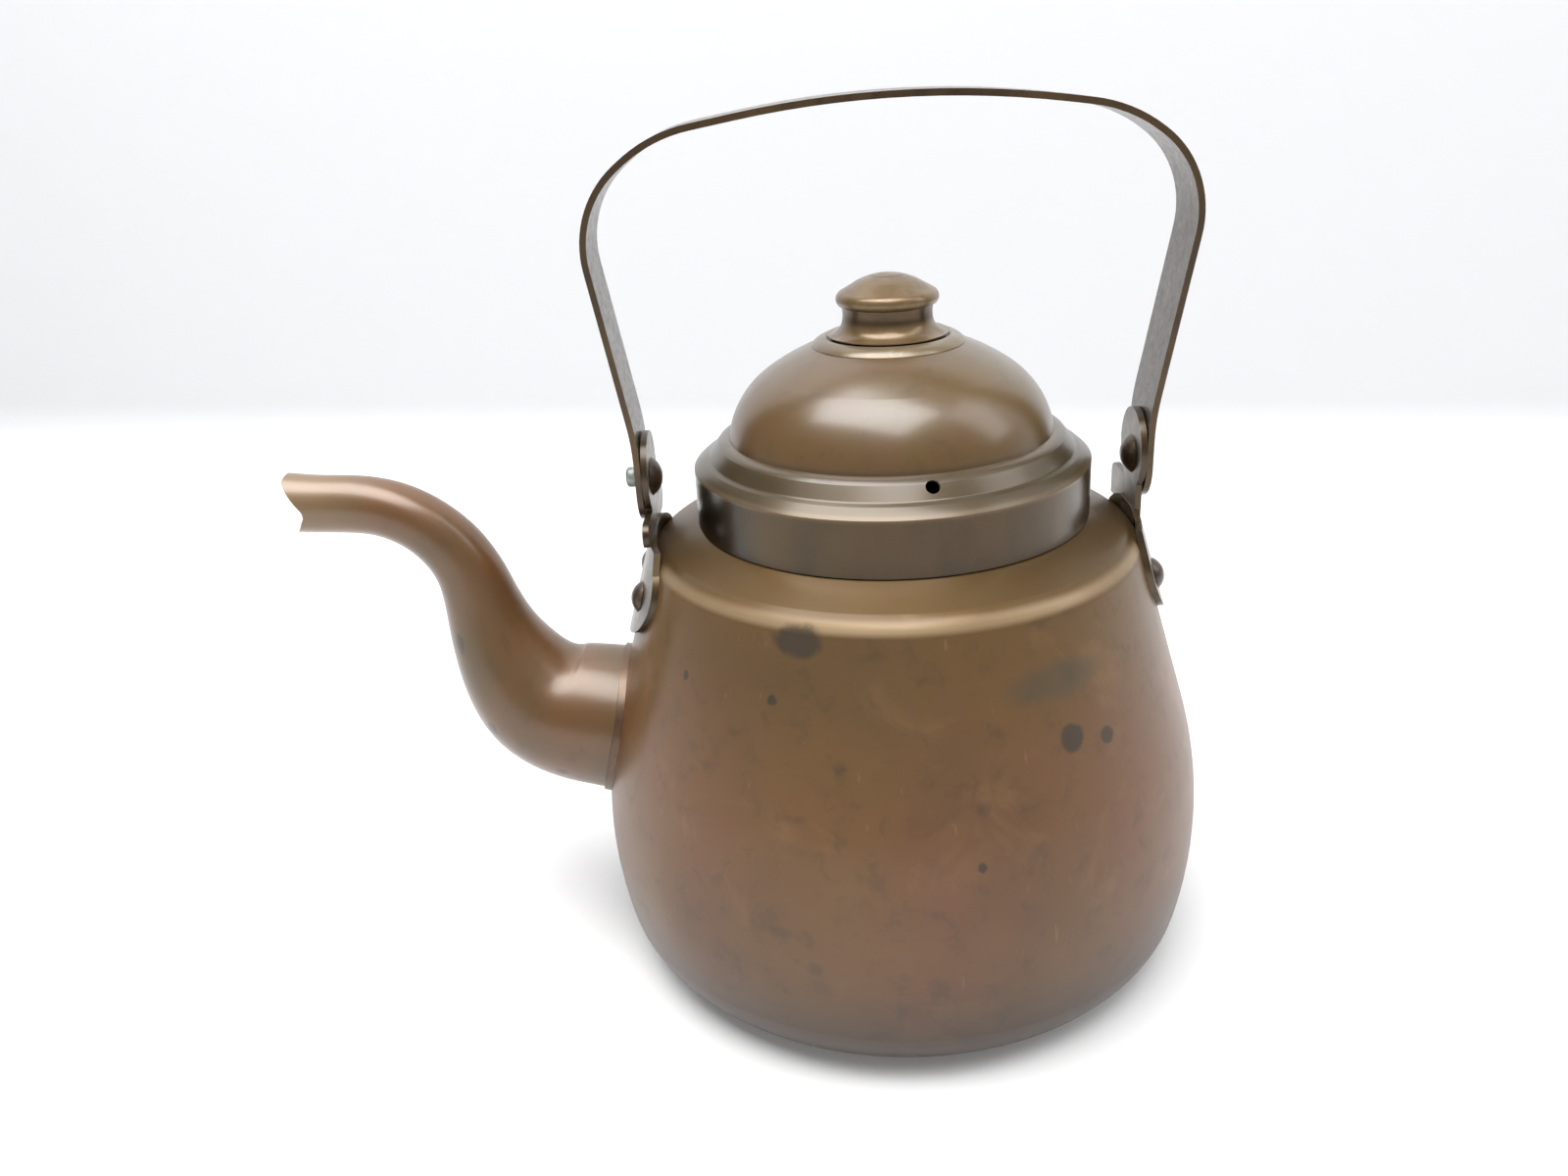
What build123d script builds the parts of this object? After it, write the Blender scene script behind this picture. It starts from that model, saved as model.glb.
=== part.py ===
from build123d import *
import math
import os

# Copper kettle with a swing bail, an S-curved spout and a slip-over lid.
# Millimetres. +Z is up and the kettle stands on z = 0 with its axis on Z.
# The spout points along -X, and the bail's pivots lie on a line along X.

# ---------------------------------------------------------------- driving dimensions

SHEET = 1.2                 # spun body and spout sheet
CUT_THROUGH = 16.0          # length of the tools that cut holes through sheet
LID_SHEET = 1.0

# body
BELLY_R = 77.5              # widest radius
BELLY_Z = 36.0              # height of the widest circle
BELLY_CURVE = 105.0         # radius of the belly's side, seen from the front
BELLY_TOP_Z = 66.0          # where the belly runs out into a straight cone
FOOT_CURVE = 18.0           # rounding from the side into the flat base
SHOULDER_R = 59.8           # corner between the cone and the shoulder, before rounding
SHOULDER_Z = 110.8
SHOULDER_CURVE = 7.0
NECK_R = 46.8               # outside of the upstanding neck that the lid slips over
NECK_ROOT_Z = 116.1         # height at which the shoulder line meets the lid's skirt
NECK_TOP_Z = 128.6
NECK_CURVE = 0.5            # bend between shoulder and neck, on the outside
SMALLEST_BEND = 0.4
BASE_SHEET = 1.6            # the brazed-in bottom disc

# lid
SKIRT_R = 48.2
SKIRT_FOOT_Z = 116.5
RIM_Z = 129.8               # crisp edge at the top of the skirt
# The flange between skirt and dome is two rolls with a hollow line between them.
# Each corner is a radius and a height, followed by how steep the sheet is there.
OUTER_ROLL = (46.9, 130.95)
OUTER_ROLL_SLOPE = 37.0
ROLL_START = (45.5, 131.95)
ROLL_START_SLOPE = 30.0
HOLLOW = (44.4, 132.55)
HOLLOW_SLOPE = 40.0
HOLLOW_BEND = 1.2
RIDGE = (42.0, 135.6)
RIDGE_SLOPE = 46.0
INNER_ROLL = (40.8, 136.4)
INNER_ROLL_SLOPE = 22.0
DOME_SIDE_CURVE = 22.7
DOME_TOP_CURVE = 52.0
DOME_CENTRE_Z = 108.95
DOME_JOIN_R = 30.0          # where the dome's flat crown meets its round side
DOME_FOOT_Z = 136.8
VENT_R = 1.6
VENT_AT = (42.5, 135.0)     # radius and height of the vent hole's middle
VENT_AZIMUTH = -81.7
VENT_TILT = 50.0            # the hole points outward, square to the sheet

# knob
KNOB_TOP_Z = 173.9
KNOB_TOP_MIDDLE = (3.7, 173.47)
KNOB_TOP_EDGE = (7.2, 172.2)
KNOB_CAP_SLOPE_END = (11.2, 169.9)
KNOB_CAP_WIDEST = (12.1, 168.6)
KNOB_CAP_LOW = (11.7, 167.0)   # crisp lower edge of the cap
KNOB_NECK_TOP = (10.8, 166.6)
KNOB_NECK = (10.6, 164.6)
KNOB_NECK_LOW = (10.9, 162.6)
KNOB_FLARE = (12.0, 161.0)
KNOB_FOOT_R = 14.4
KNOB_FOOT_Z = 160.2
KNOB_SEAT_Z = 159.0         # where the knob's foot stands in its ring
FOOT_RING_R = 18.2
FOOT_RING_Z = 159.7
FOOT_RING_SIDE_Z = 157.9
STUD_R = 2.5
STUD_TOP_Z = 166.0
STUD_HEAD_R = 4.6
STUD_HEAD_H = 2.6
WASHER_R = 8.0
WASHER_T = 1.6
WASHER_DROP = 1.0           # under the highest point of the lid's inner face
KNOB_SUNK = 6.0             # blanks reach this far below the crown before fitting
KNOB_LIFT = 1.0             # the knob stands off the lid by its foot ring

# ears, on a line along X
PIVOT_Z = 127.3
BAIL_X = 61.4               # middle of the strip's thickness at the pivots
STRIP_T = 1.5
STRIP_W = 18.0
STRIP_END_DROP = 1.5        # middle of the strip's round end below the pivot
EAR_T = 1.5
EAR_GAP = 0.2               # flat faces of ear and strip
DISC_R = 10.0
DISC_RISE = 1.4             # middle of the disc above the pivot
EAR_NECK_W = 13.0
LOBE_Z = 117.2
LOBE_REACH = 18.0
LOBE_R = 3.0
EAR_BEND_Z = 111.6          # where the flat upper part meets the sloping pad
EAR_LAP = 0.6               # how far the two run into each other
FRONT_PAD_HALF_W = 23.0     # each pad is a broad tongue, oval below
REAR_PAD_HALF_W = 19.5
PAD_HALF_H = 13.5
PAD_MIDDLE_Z = 102.0
PAD_SIDE_SHARE = 0.95       # part of the half width where the flare meets the oval
PAD_SIDE_Z = 106.0
PAD_TOP_NEAR_W = 17.0       # the pad's top reaches this far toward -Y
PAD_TOP_FAR_W = 8.0         # and this far toward +Y
PAD_TOP_Z = 113.2
RIVET_Y = 12.0
RIVET_Z = 99.9
RIVET_R = 2.2
RIVET_HEAD_R = 3.9
RIVET_HEAD_H = 2.1
RIVET_TAIL_H = 0.8          # dome of the hammered tail inside the body
RIVET_TAIL_RIM = 0.4
PIVOT_R = 2.5
PIVOT_RUN = 0.05            # running clearance of the strip on its rivet
PIVOT_HEAD_R = 4.8
PIVOT_HEAD_H = 2.6
FRONT_TAIL_H = 3.0          # the spout side's rivet tail stands proud
REAR_TAIL_H = 1.3           # the rear one is hammered down
REAR_TAIL_R = 3.4
TAIL_ROUNDING = 0.4         # share of the tail's height or radius

# spout
SPOUT_TIP_R = 7.15
SPOUT_SWELL = 12.6          # how much wider the root is than the tip
SPOUT_SWELL_AT = 79.0       # distance from the tip at half the swell
SPOUT_SWELL_OVER = 12.0
SPOUT_TIP_FLARE = 0.35
SPOUT_FLARE_OVER = 6.0
SPOUT_SECTIONS = 20
COLLAR_W = 0.7
COLLAR_H = 1.8


# ---------------------------------------------------------------- helpers


def spin(face_edges):
    """Revolve closed edges, drawn as radius and height, about the kettle's axis."""
    with BuildPart() as part:
        with BuildSketch(Plane.XZ):
            with BuildLine():
                for edge in face_edges:
                    add(edge)
            make_face()
        revolve(axis=Axis.Z)
    return part.part


def point_on(centre, radius, angle):
    return (
        centre[0] + radius * math.cos(math.radians(angle)),
        centre[1] + radius * math.sin(math.radians(angle)),
    )


def arc(centre, radius, from_angle, to_angle):
    """Arc about a centre, from one angle to another in degrees."""
    middle = (from_angle + to_angle) / 2
    return ThreePointArc(
        point_on(centre, radius, from_angle),
        point_on(centre, radius, middle),
        point_on(centre, radius, to_angle),
    )


def angle_of(vector):
    return math.degrees(math.atan2(vector[1], vector[0]))


def upright(radius, height):
    """Cylinder standing on z = 0."""
    return Cylinder(radius, height, align=(Align.CENTER, Align.CENTER, Align.MIN))


def save(name, solid):
    export_step(solid, os.path.join("parts", name + ".step"))
    boxed = solid.bounding_box()
    print(f"{name:20s} {solid.volume:10.1f} mm3", boxed.min, boxed.max)


# ---------------------------------------------------------------- body


BELLY_CENTRE = (BELLY_R - BELLY_CURVE, BELLY_Z)
FOOT_REACH = math.sqrt((BELLY_CURVE - FOOT_CURVE) ** 2 - (BELLY_Z - FOOT_CURVE) ** 2)
FOOT_CENTRE = (BELLY_CENTRE[0] + FOOT_REACH, FOOT_CURVE)
BASE_R = FOOT_CENTRE[0]
FOOT_ANGLE = angle_of((FOOT_REACH, FOOT_CURVE - BELLY_Z))
BELLY_TOP_ANGLE = math.degrees(math.asin((BELLY_TOP_Z - BELLY_Z) / BELLY_CURVE))
SHOULDER_SLOPE = (NECK_ROOT_Z - SHOULDER_Z) / (SHOULDER_R - SKIRT_R)


def side_radius(z, offset=0.0):
    """Radius of the body's conical side above the belly, at height z."""
    top = point_on(BELLY_CENTRE, BELLY_CURVE, BELLY_TOP_ANGLE)
    slope = (SHOULDER_R - top[0]) / (SHOULDER_Z - top[1])
    return top[0] + slope * (z - top[1]) + offset * math.sqrt(1 + slope * slope)


def body_outline(offset):
    """Outer side of the body moved inward by offset, from base to neck top."""
    foot = arc(FOOT_CENTRE, FOOT_CURVE - offset, -90, FOOT_ANGLE)
    belly = arc(BELLY_CENTRE, BELLY_CURVE - offset, FOOT_ANGLE, BELLY_TOP_ANGLE)
    cone_top = point_on(BELLY_CENTRE, BELLY_CURVE, BELLY_TOP_ANGLE)
    up = Vector(SHOULDER_R - cone_top[0], SHOULDER_Z - cone_top[1]).normalized()
    along = Vector(SKIRT_R - SHOULDER_R, NECK_ROOT_Z - SHOULDER_Z).normalized()
    up_inward = Vector(-up.Y, up.X)
    along_inward = Vector(-along.Y, along.X)
    half_turn = math.radians(up.get_angle(along)) / 2
    reach = SHOULDER_CURVE * math.tan(half_turn)
    corner = Vector(SHOULDER_R, SHOULDER_Z)
    cone_end = corner - up * reach
    shoulder_start = corner + along * reach
    centre = cone_end + up_inward * SHOULDER_CURVE
    start_angle = angle_of((up.Y, -up.X))
    end_angle = angle_of((along.Y, -along.X))
    side_end = cone_end + up_inward * offset
    side = Line(belly @ 1, (side_end.X, side_end.Y))
    shoulder = arc((centre.X, centre.Y), SHOULDER_CURVE - offset, start_angle, end_angle)
    neck_r = NECK_R - offset
    start = shoulder_start + along_inward * offset
    meet = (neck_r, start.Y + SHOULDER_SLOPE * (start.X - neck_r))
    bend = max(NECK_CURVE + offset, SMALLEST_BEND)
    top = (neck_r, NECK_TOP_Z)
    upper = FilletPolyline((start.X, start.Y), meet, top, radius=bend)
    return foot, belly, side, shoulder, upper


def body_solid(offset=0.0):
    """The body as a full solid, filled to its axis, for cutting other pieces."""
    foot, belly, side, shoulder, upper = body_outline(offset)
    close = [
        Line(upper @ 1, (0, NECK_TOP_Z)),
        Line((0, NECK_TOP_Z), (0, (foot @ 0).Y)),
        Line((0, (foot @ 0).Y), foot @ 0),
    ]
    return spin([foot, belly, side, shoulder, upper] + close)


def body_shell():
    outer = body_outline(0.0)
    inner = body_outline(SHEET)
    foot_edge = Line(outer[0] @ 0, inner[0] @ 0)
    neck_edge = Line(outer[4] @ 1, inner[4] @ 1)
    shell = spin(list(outer) + list(inner) + [foot_edge, neck_edge])
    shell -= spout_solid(-SHEET)
    for side in (-1, 1):
        shell -= rivet_shanks(side)
    return shell


def base_plate():
    return upright(BASE_R, BASE_SHEET) - (body_solid() - body_core())


def body_core():
    """Everything inside the body sheet."""
    foot, belly, side, shoulder, upper = body_outline(SHEET)
    close = [
        Line(upper @ 1, (0, NECK_TOP_Z)),
        Line((0, NECK_TOP_Z), (0, 0)),
        Line((0, 0), (BASE_R, 0)),
        Line((BASE_R, 0), foot @ 0),
    ]
    return spin([foot, belly, side, shoulder, upper] + close)


# ---------------------------------------------------------------- spout

# Corners of the spout's centre line, from the tip to inside the body, each with
# the radius of its bend. x and z in the plane of symmetry.
SPOUT_CORNERS = [
    (-153.0, 125.1),
    (-119.8, 122.6),
    (-108.1, 106.6),
    (-103.0, 83.4),
    (-94.0, 65.1),
    (-58.0, 57.4),
]
SPOUT_BENDS = [29.5, 27.0, 60.0, 22.0]
# Side view of the shaped end: over the top, down the slanting upper lip, round the
# notch and out along the lower lip. Each bulge is a point half way along its curve.
TIP_TOP = (-147.6, 133.5)
TIP_TOP_BULGE = (-149.4, 132.7)
TIP_UPPER = (-149.7, 131.3)
TIP_UPPER_BULGE = (-147.6, 128.1)
TIP_NOTCH_TOP = (-145.4, 125.1)
TIP_NOTCH = (-144.8, 123.5)
TIP_NOTCH_FOOT = (-145.5, 121.8)
TIP_LOWER_BULGE = (-147.3, 119.1)
TIP_LOWER = (-150.6, 116.6)
TIP_CLEAR = 9.0             # how far the cut runs past the end all round


def spout_path():
    points = [(x, 0, z) for x, z in SPOUT_CORNERS]
    return FilletPolyline(*points, radius=SPOUT_BENDS)


def spout_radius(distance):
    """Outer radius of the spout at a distance along its centre line from the tip."""
    swell = SPOUT_SWELL / (1 + math.exp((SPOUT_SWELL_AT - distance) / SPOUT_SWELL_OVER))
    flare = SPOUT_TIP_FLARE * math.exp(-distance / SPOUT_FLARE_OVER)
    return SPOUT_TIP_R + swell + flare


def spout_solid(offset=0.0):
    """The spout as a full solid, its radius changed by offset."""
    path = spout_path()
    length = path.length
    rings = []
    for step in range(SPOUT_SECTIONS):
        place = step / (SPOUT_SECTIONS - 1)
        ahead = path % place
        frame = Plane(origin=path @ place, x_dir=(0, 1, 0), z_dir=ahead)
        circle = Edge.make_circle(spout_radius(place * length) + offset)
        rings.append(Face(Wire(frame * circle)))
    return loft(rings)


def tip_cutter():
    """Removes what lies beyond the shaped end of the spout."""
    beyond = TIP_UPPER[0] - TIP_CLEAR
    above = TIP_TOP[1] + TIP_CLEAR
    below = TIP_LOWER[1] - TIP_CLEAR
    outside = [
        TIP_LOWER,
        (TIP_LOWER[0], below),
        (beyond, below),
        (beyond, above),
        (TIP_TOP[0], above),
        TIP_TOP,
    ]
    with BuildPart() as part:
        with BuildSketch(Plane.XZ):
            with BuildLine():
                ThreePointArc(TIP_TOP, TIP_TOP_BULGE, TIP_UPPER)
                ThreePointArc(TIP_UPPER, TIP_UPPER_BULGE, TIP_NOTCH_TOP)
                ThreePointArc(TIP_NOTCH_TOP, TIP_NOTCH, TIP_NOTCH_FOOT)
                ThreePointArc(TIP_NOTCH_FOOT, TIP_LOWER_BULGE, TIP_LOWER)
                Polyline(*outside)
            make_face()
        extrude(amount=2 * SPOUT_TIP_R, both=True)
    return part.part


def spout():
    tube = spout_solid() - spout_solid(-SHEET)
    tube -= tip_cutter()
    return tube - body_solid()


def spout_collar():
    """Narrow band around the spout's root, soldered to body and spout."""
    ring = spout_solid(COLLAR_W) - spout_solid()
    near_body = body_solid(-COLLAR_H)
    return (ring & near_body) - body_solid()


# ---------------------------------------------------------------- ears and rivets


EAR_OUT_X = BAIL_X - STRIP_T / 2 - EAR_GAP
EAR_IN_X = EAR_OUT_X - EAR_T


def outline_solid(sketch_fn, x_from, x_to, *choices):
    """Extrude an outline drawn in Y and Z between two values of X."""
    with BuildPart() as part:
        with BuildSketch(Plane.YZ.offset(x_from)):
            sketch_fn(*choices)
        extrude(amount=x_to - x_from)
    return part.part


def ear_upper_sketch(lobes):
    """Disc, neck and the lobes on the given sides."""
    with Locations((0, PIVOT_Z + DISC_RISE)):
        Circle(DISC_R)
    with Locations((0, (PIVOT_Z + EAR_BEND_Z) / 2)):
        Rectangle(EAR_NECK_W, PIVOT_Z - EAR_BEND_Z + 2 * EAR_LAP)
    lobe_y = LOBE_REACH - LOBE_R
    for side in lobes:
        with Locations((side * lobe_y, LOBE_Z)):
            Circle(LOBE_R)
        with Locations((side * lobe_y / 2, LOBE_Z)):
            Rectangle(lobe_y, 2 * LOBE_R)


def rear_web_sketch():
    """Web that fills the corner between the rear ear's lobe and its pad."""
    corners = [
        (0, EAR_BEND_Z),
        (LOBE_REACH, EAR_BEND_Z),
        (LOBE_REACH, LOBE_Z),
        (0, LOBE_Z),
    ]
    Polygon(*corners, align=None)


def ear_pad_sketch(half_w, left_top, right_top):
    """Broad tongue that follows the body and narrows upward to the neck."""
    side_w = half_w * PAD_SIDE_SHARE
    with Locations((0, PAD_MIDDLE_Z)):
        Ellipse(half_w, PAD_HALF_H)
    corners = [
        (-left_top, PAD_TOP_Z),
        (-side_w, PAD_SIDE_Z),
        (-side_w, PAD_MIDDLE_Z),
        (side_w, PAD_MIDDLE_Z),
        (side_w, PAD_SIDE_Z),
        (right_top, PAD_TOP_Z),
    ]
    Polygon(*corners, align=None)


def side_sleeve():
    """Conical sleeve one ear thick, lying on the body's side."""
    low = PAD_MIDDLE_Z - PAD_HALF_H - EAR_T
    high = PAD_TOP_Z + EAR_T
    corners = [
        (side_radius(low), low),
        (side_radius(low, EAR_T), low),
        (side_radius(high, EAR_T), high),
        (side_radius(high), high),
    ]
    return spin([Polyline(*corners, close=True)])


def ear(side, lobes, pad_half_w):
    flat = outline_solid(ear_upper_sketch, EAR_IN_X, EAR_OUT_X, lobes)
    tops = (PAD_TOP_NEAR_W, PAD_TOP_FAR_W)
    if side < 0:
        tops = (PAD_TOP_FAR_W, PAD_TOP_NEAR_W)
    else:
        flat += outline_solid(rear_web_sketch, EAR_IN_X, EAR_OUT_X)
    pad = outline_solid(ear_pad_sketch, NECK_R, BELLY_R, pad_half_w, *tops) & side_sleeve()
    plate = flat + pad
    if side < 0:
        plate = plate.rotate(Axis.Z, 180)
    plate -= pivot_shank(side)
    plate -= rivet_shanks(side)
    return plate - body_solid()


def rivet_places(side):
    """Where each ear's rivets cross the body's side, and the way they point."""
    tilt = math.degrees(math.atan2(side_radius(RIVET_Z) - side_radius(RIVET_Z + 1), 1.0))
    for y in (-RIVET_Y, RIVET_Y):
        radius = side_radius(RIVET_Z)
        turn = math.degrees(math.asin(y / radius))
        outward = Vector(1, 0, 0).rotate(Axis.Y, -tilt).rotate(Axis.Z, turn)
        base = Vector(radius, 0, 0).rotate(Axis.Z, turn) + Vector(0, 0, RIVET_Z)
        if side < 0:
            outward = outward.rotate(Axis.Z, 180)
            base = base.rotate(Axis.Z, 180)
        yield Plane(origin=base, z_dir=outward)


def rivet_shanks(side):
    shanks = Part()
    for place in rivet_places(side):
        shanks += place * Cylinder(RIVET_R, CUT_THROUGH)
    return shanks


def domed_head(radius, height, rim=0.0):
    """A domed rivet head standing on z = 0, with a straight rim below its dome."""
    ball = (radius * radius + height * height) / (2 * height)
    half = math.asin(radius / ball) / 2
    middle = (ball * math.sin(half), rim + height - ball + ball * math.cos(half))
    corners = [(0, rim + height), (0, 0), (radius, 0)]
    if rim > 0:
        corners.append((radius, rim))
    with BuildPart() as part:
        with BuildSketch(Plane.XZ):
            with BuildLine():
                ThreePointArc((radius, rim), middle, (0, rim + height))
                Polyline(*corners)
            make_face()
        revolve(axis=Axis.Z)
    return part.part


def ear_rivets(side):
    """Two rivets: a domed head outside and a low hammered tail inside."""
    inside_r = side_radius(RIVET_Z, -SHEET)
    seat = inside_r - math.sqrt(inside_r ** 2 - RIVET_HEAD_R ** 2)
    tail_at = -SHEET - seat
    shank_end = EAR_T + RIVET_HEAD_H / 2
    solids = []
    for place in rivet_places(side):
        shank = Pos(0, 0, tail_at) * upright(RIVET_R, shank_end - tail_at)
        head = Pos(0, 0, EAR_T) * domed_head(RIVET_HEAD_R, RIVET_HEAD_H)
        tail = domed_head(RIVET_HEAD_R, RIVET_TAIL_H, RIVET_TAIL_RIM)
        tail = Pos(0, 0, tail_at) * (Rot(180, 0, 0) * tail)
        solids.append(place * (shank + head + tail))
    return Compound(children=solids)


def pivot_shank(side):
    middle = side * BAIL_X
    return Pos(middle, 0, PIVOT_Z) * (Rot(0, 90, 0) * Cylinder(PIVOT_R, CUT_THROUGH))


def pivot_rivet(side, tail_r, tail_h):
    """Domed head inside the ear, shank through ear and strip, tail outside."""
    shank_end = BAIL_X + STRIP_T / 2 + EAR_GAP
    inner = Pos(EAR_IN_X, 0, PIVOT_Z)
    outer = Pos(shank_end, 0, PIVOT_Z)
    shank = inner * (Rot(0, 90, 0) * upright(PIVOT_R, shank_end - EAR_IN_X))
    head = inner * (Rot(0, -90, 0) * domed_head(PIVOT_HEAD_R, PIVOT_HEAD_H))
    tail = outer * (Rot(0, 90, 0) * tail_end(tail_r, tail_h))
    rivet = shank + head + tail
    return rivet if side > 0 else rivet.rotate(Axis.Z, 180)


def tail_end(radius, height):
    """Upright disc with its upper edge rounded, on z = 0."""
    with BuildPart() as part:
        add(upright(radius, height))
        fillet(part.edges().sort_by(Axis.Z)[-1], radius=min(height, radius) * TAIL_ROUNDING)
    return part.part


# ---------------------------------------------------------------- bail

# Corners of the strip's middle line, from the spout side's end over the top to the
# rear end, each with the radius of its bend. The strip is bent by hand, so the two
# halves differ a little.
STRIP_END_Z = PIVOT_Z - STRIP_W / 2 - STRIP_END_DROP
BAIL_CORNERS = [
    (-BAIL_X, STRIP_END_Z),
    (-BAIL_X, 138.0),
    (-70.6, 192.2),
    (-51.6, 207.0),
    (3.2, 215.7),
    (53.0, 208.0),
    (71.7, 193.9),
    (BAIL_X, 138.0),
    (BAIL_X, STRIP_END_Z),
]
BAIL_BENDS = [60.0, 23.0, 34.0, 236.0, 34.0, 23.0, 60.0]


def bail():
    with BuildPart() as part:
        with BuildSketch(Plane.XZ):
            with BuildLine():
                FilletPolyline(*BAIL_CORNERS, radius=BAIL_BENDS)
            trace(line_width=STRIP_T)
        extrude(amount=STRIP_W / 2, both=True)
    strip = part.part
    for side in (-1, 1):
        pivot = Pos(side * BAIL_X, 0, PIVOT_Z) * Rot(0, 90, 0)
        end_block = Pos(side * BAIL_X, 0, STRIP_END_Z) * Box(4 * STRIP_T, 2 * STRIP_W, STRIP_W)
        round_end = Pos(0, 0, -STRIP_END_DROP) * pivot * Cylinder(STRIP_W / 2, CUT_THROUGH)
        strip -= end_block - round_end
        strip -= pivot * Cylinder(PIVOT_R + PIVOT_RUN, CUT_THROUGH)
    return strip


# ---------------------------------------------------------------- lid

DOME_SIDE_ANGLE = math.degrees(math.acos(DOME_JOIN_R / DOME_TOP_CURVE))
DOME_SIDE_CENTRE = point_on((0, DOME_CENTRE_Z), DOME_TOP_CURVE - DOME_SIDE_CURVE, DOME_SIDE_ANGLE)
DOME_FOOT_ANGLE = math.degrees(math.asin((DOME_FOOT_Z - DOME_SIDE_CENTRE[1]) / DOME_SIDE_CURVE))


def sunk(point, slope, offset):
    """A point of the lid moved inward by offset where the sheet falls at slope."""
    return point_on(point, -offset, 90 - slope)


def lid_outline(offset):
    """Lid surface moved inward by offset, from the skirt's foot to the axis."""
    foot_z = SKIRT_FOOT_Z + SHOULDER_SLOPE * offset
    rim_z = RIM_Z - 0.3 * offset
    skirt = Line((SKIRT_R - offset, foot_z), (SKIRT_R - offset, rim_z))
    outer_roll = sunk(OUTER_ROLL, OUTER_ROLL_SLOPE, offset)
    roll_start = sunk(ROLL_START, ROLL_START_SLOPE, offset)
    rim = ThreePointArc(skirt @ 1, outer_roll, roll_start)
    hollow = sunk(HOLLOW, HOLLOW_SLOPE, offset)
    ridge = sunk(RIDGE, RIDGE_SLOPE, offset)
    fall = FilletPolyline(roll_start, hollow, ridge, radius=HOLLOW_BEND + offset)
    side_r = DOME_SIDE_CURVE - offset
    dome_foot = point_on(DOME_SIDE_CENTRE, side_r, DOME_FOOT_ANGLE)
    foot = ThreePointArc(ridge, sunk(INNER_ROLL, INNER_ROLL_SLOPE, offset), dome_foot)
    side = arc(DOME_SIDE_CENTRE, side_r, DOME_FOOT_ANGLE, DOME_SIDE_ANGLE)
    crown = arc((0, DOME_CENTRE_Z), DOME_TOP_CURVE - offset, DOME_SIDE_ANGLE, 90)
    return skirt, rim, fall, foot, side, crown


def lid_shell():
    outer = lid_outline(0.0)
    inner = lid_outline(LID_SHEET)
    skirt_foot = Line(outer[0] @ 0, inner[0] @ 0)
    axis_edge = Line(outer[5] @ 1, inner[5] @ 1)
    shell = spin(list(outer) + list(inner) + [skirt_foot, axis_edge])
    vent = Rot(0, 0, VENT_AZIMUTH) * Pos(VENT_AT[0], 0, VENT_AT[1]) * Rot(0, VENT_TILT, 0)
    shell -= vent * Cylinder(VENT_R, CUT_THROUGH)
    shell -= Pos(0, 0, CROWN_Z) * Cylinder(STUD_R, CUT_THROUGH)
    return shell


CROWN_Z = DOME_CENTRE_Z + DOME_TOP_CURVE


def crown_solid(offset):
    """Ball that the lid's crown lies on, for fitting the knob to it."""
    return Pos(0, 0, DOME_CENTRE_Z) * Sphere(DOME_TOP_CURVE + offset)


def lid_knob():
    """Turned knob: a low peaked cap with a crisp lower edge, a neck and a flared foot."""
    foot = (KNOB_FOOT_R, KNOB_FOOT_Z)
    low = CROWN_Z - KNOB_SUNK
    with BuildPart() as part:
        with BuildSketch(Plane.XZ):
            with BuildLine():
                ThreePointArc((0, KNOB_TOP_Z), KNOB_TOP_MIDDLE, KNOB_TOP_EDGE)
                Line(KNOB_TOP_EDGE, KNOB_CAP_SLOPE_END)
                ThreePointArc(KNOB_CAP_SLOPE_END, KNOB_CAP_WIDEST, KNOB_CAP_LOW)
                Line(KNOB_CAP_LOW, KNOB_NECK_TOP)
                ThreePointArc(KNOB_NECK_TOP, KNOB_NECK, KNOB_NECK_LOW)
                ThreePointArc(KNOB_NECK_LOW, KNOB_FLARE, foot)
                Polyline(foot, (KNOB_FOOT_R, low), (0, low), (0, KNOB_TOP_Z))
            make_face()
        revolve(axis=Axis.Z)
    knob = part.part - crown_solid(KNOB_LIFT)
    return knob - Pos(0, 0, STUD_TOP_Z - CUT_THROUGH) * upright(STUD_R, CUT_THROUGH)


def knob_foot():
    """Ring between knob and lid, with a crisp upper edge."""
    low = CROWN_Z - KNOB_SUNK
    outer_low = (FOOT_RING_R, low)
    outer_side = (FOOT_RING_R, FOOT_RING_SIDE_Z)
    bulge = (FOOT_RING_R - 0.9, FOOT_RING_Z - 0.9)
    edge = (FOOT_RING_R - 3.2, FOOT_RING_Z)
    inside = [
        edge,
        (KNOB_FOOT_R + 0.1, FOOT_RING_Z - 0.2),
        (KNOB_FOOT_R - 0.5, KNOB_SEAT_Z),
        (STUD_R, KNOB_SEAT_Z),
        (STUD_R, low),
        outer_low,
        outer_side,
    ]
    with BuildPart() as part:
        with BuildSketch(Plane.XZ):
            with BuildLine():
                ThreePointArc(outer_side, bulge, edge)
                Polyline(*inside)
            make_face()
        revolve(axis=Axis.Z)
    return part.part - crown_solid(0.0) - lid_knob()


def knob_screw():
    """Stud into the knob with a domed head under the lid."""
    low = CROWN_Z - LID_SHEET - WASHER_DROP
    shank = Pos(0, 0, low) * upright(STUD_R, STUD_TOP_Z - low)
    head = Pos(0, 0, low) * (Rot(180, 0, 0) * domed_head(STUD_HEAD_R, STUD_HEAD_H))
    return shank + head


def knob_washer():
    low = CROWN_Z - LID_SHEET - WASHER_DROP
    disc = upright(WASHER_R, WASHER_T) - upright(STUD_R, WASHER_T)
    return (Pos(0, 0, low) * disc) & crown_solid(-LID_SHEET)


# ---------------------------------------------------------------- write the pieces


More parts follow.
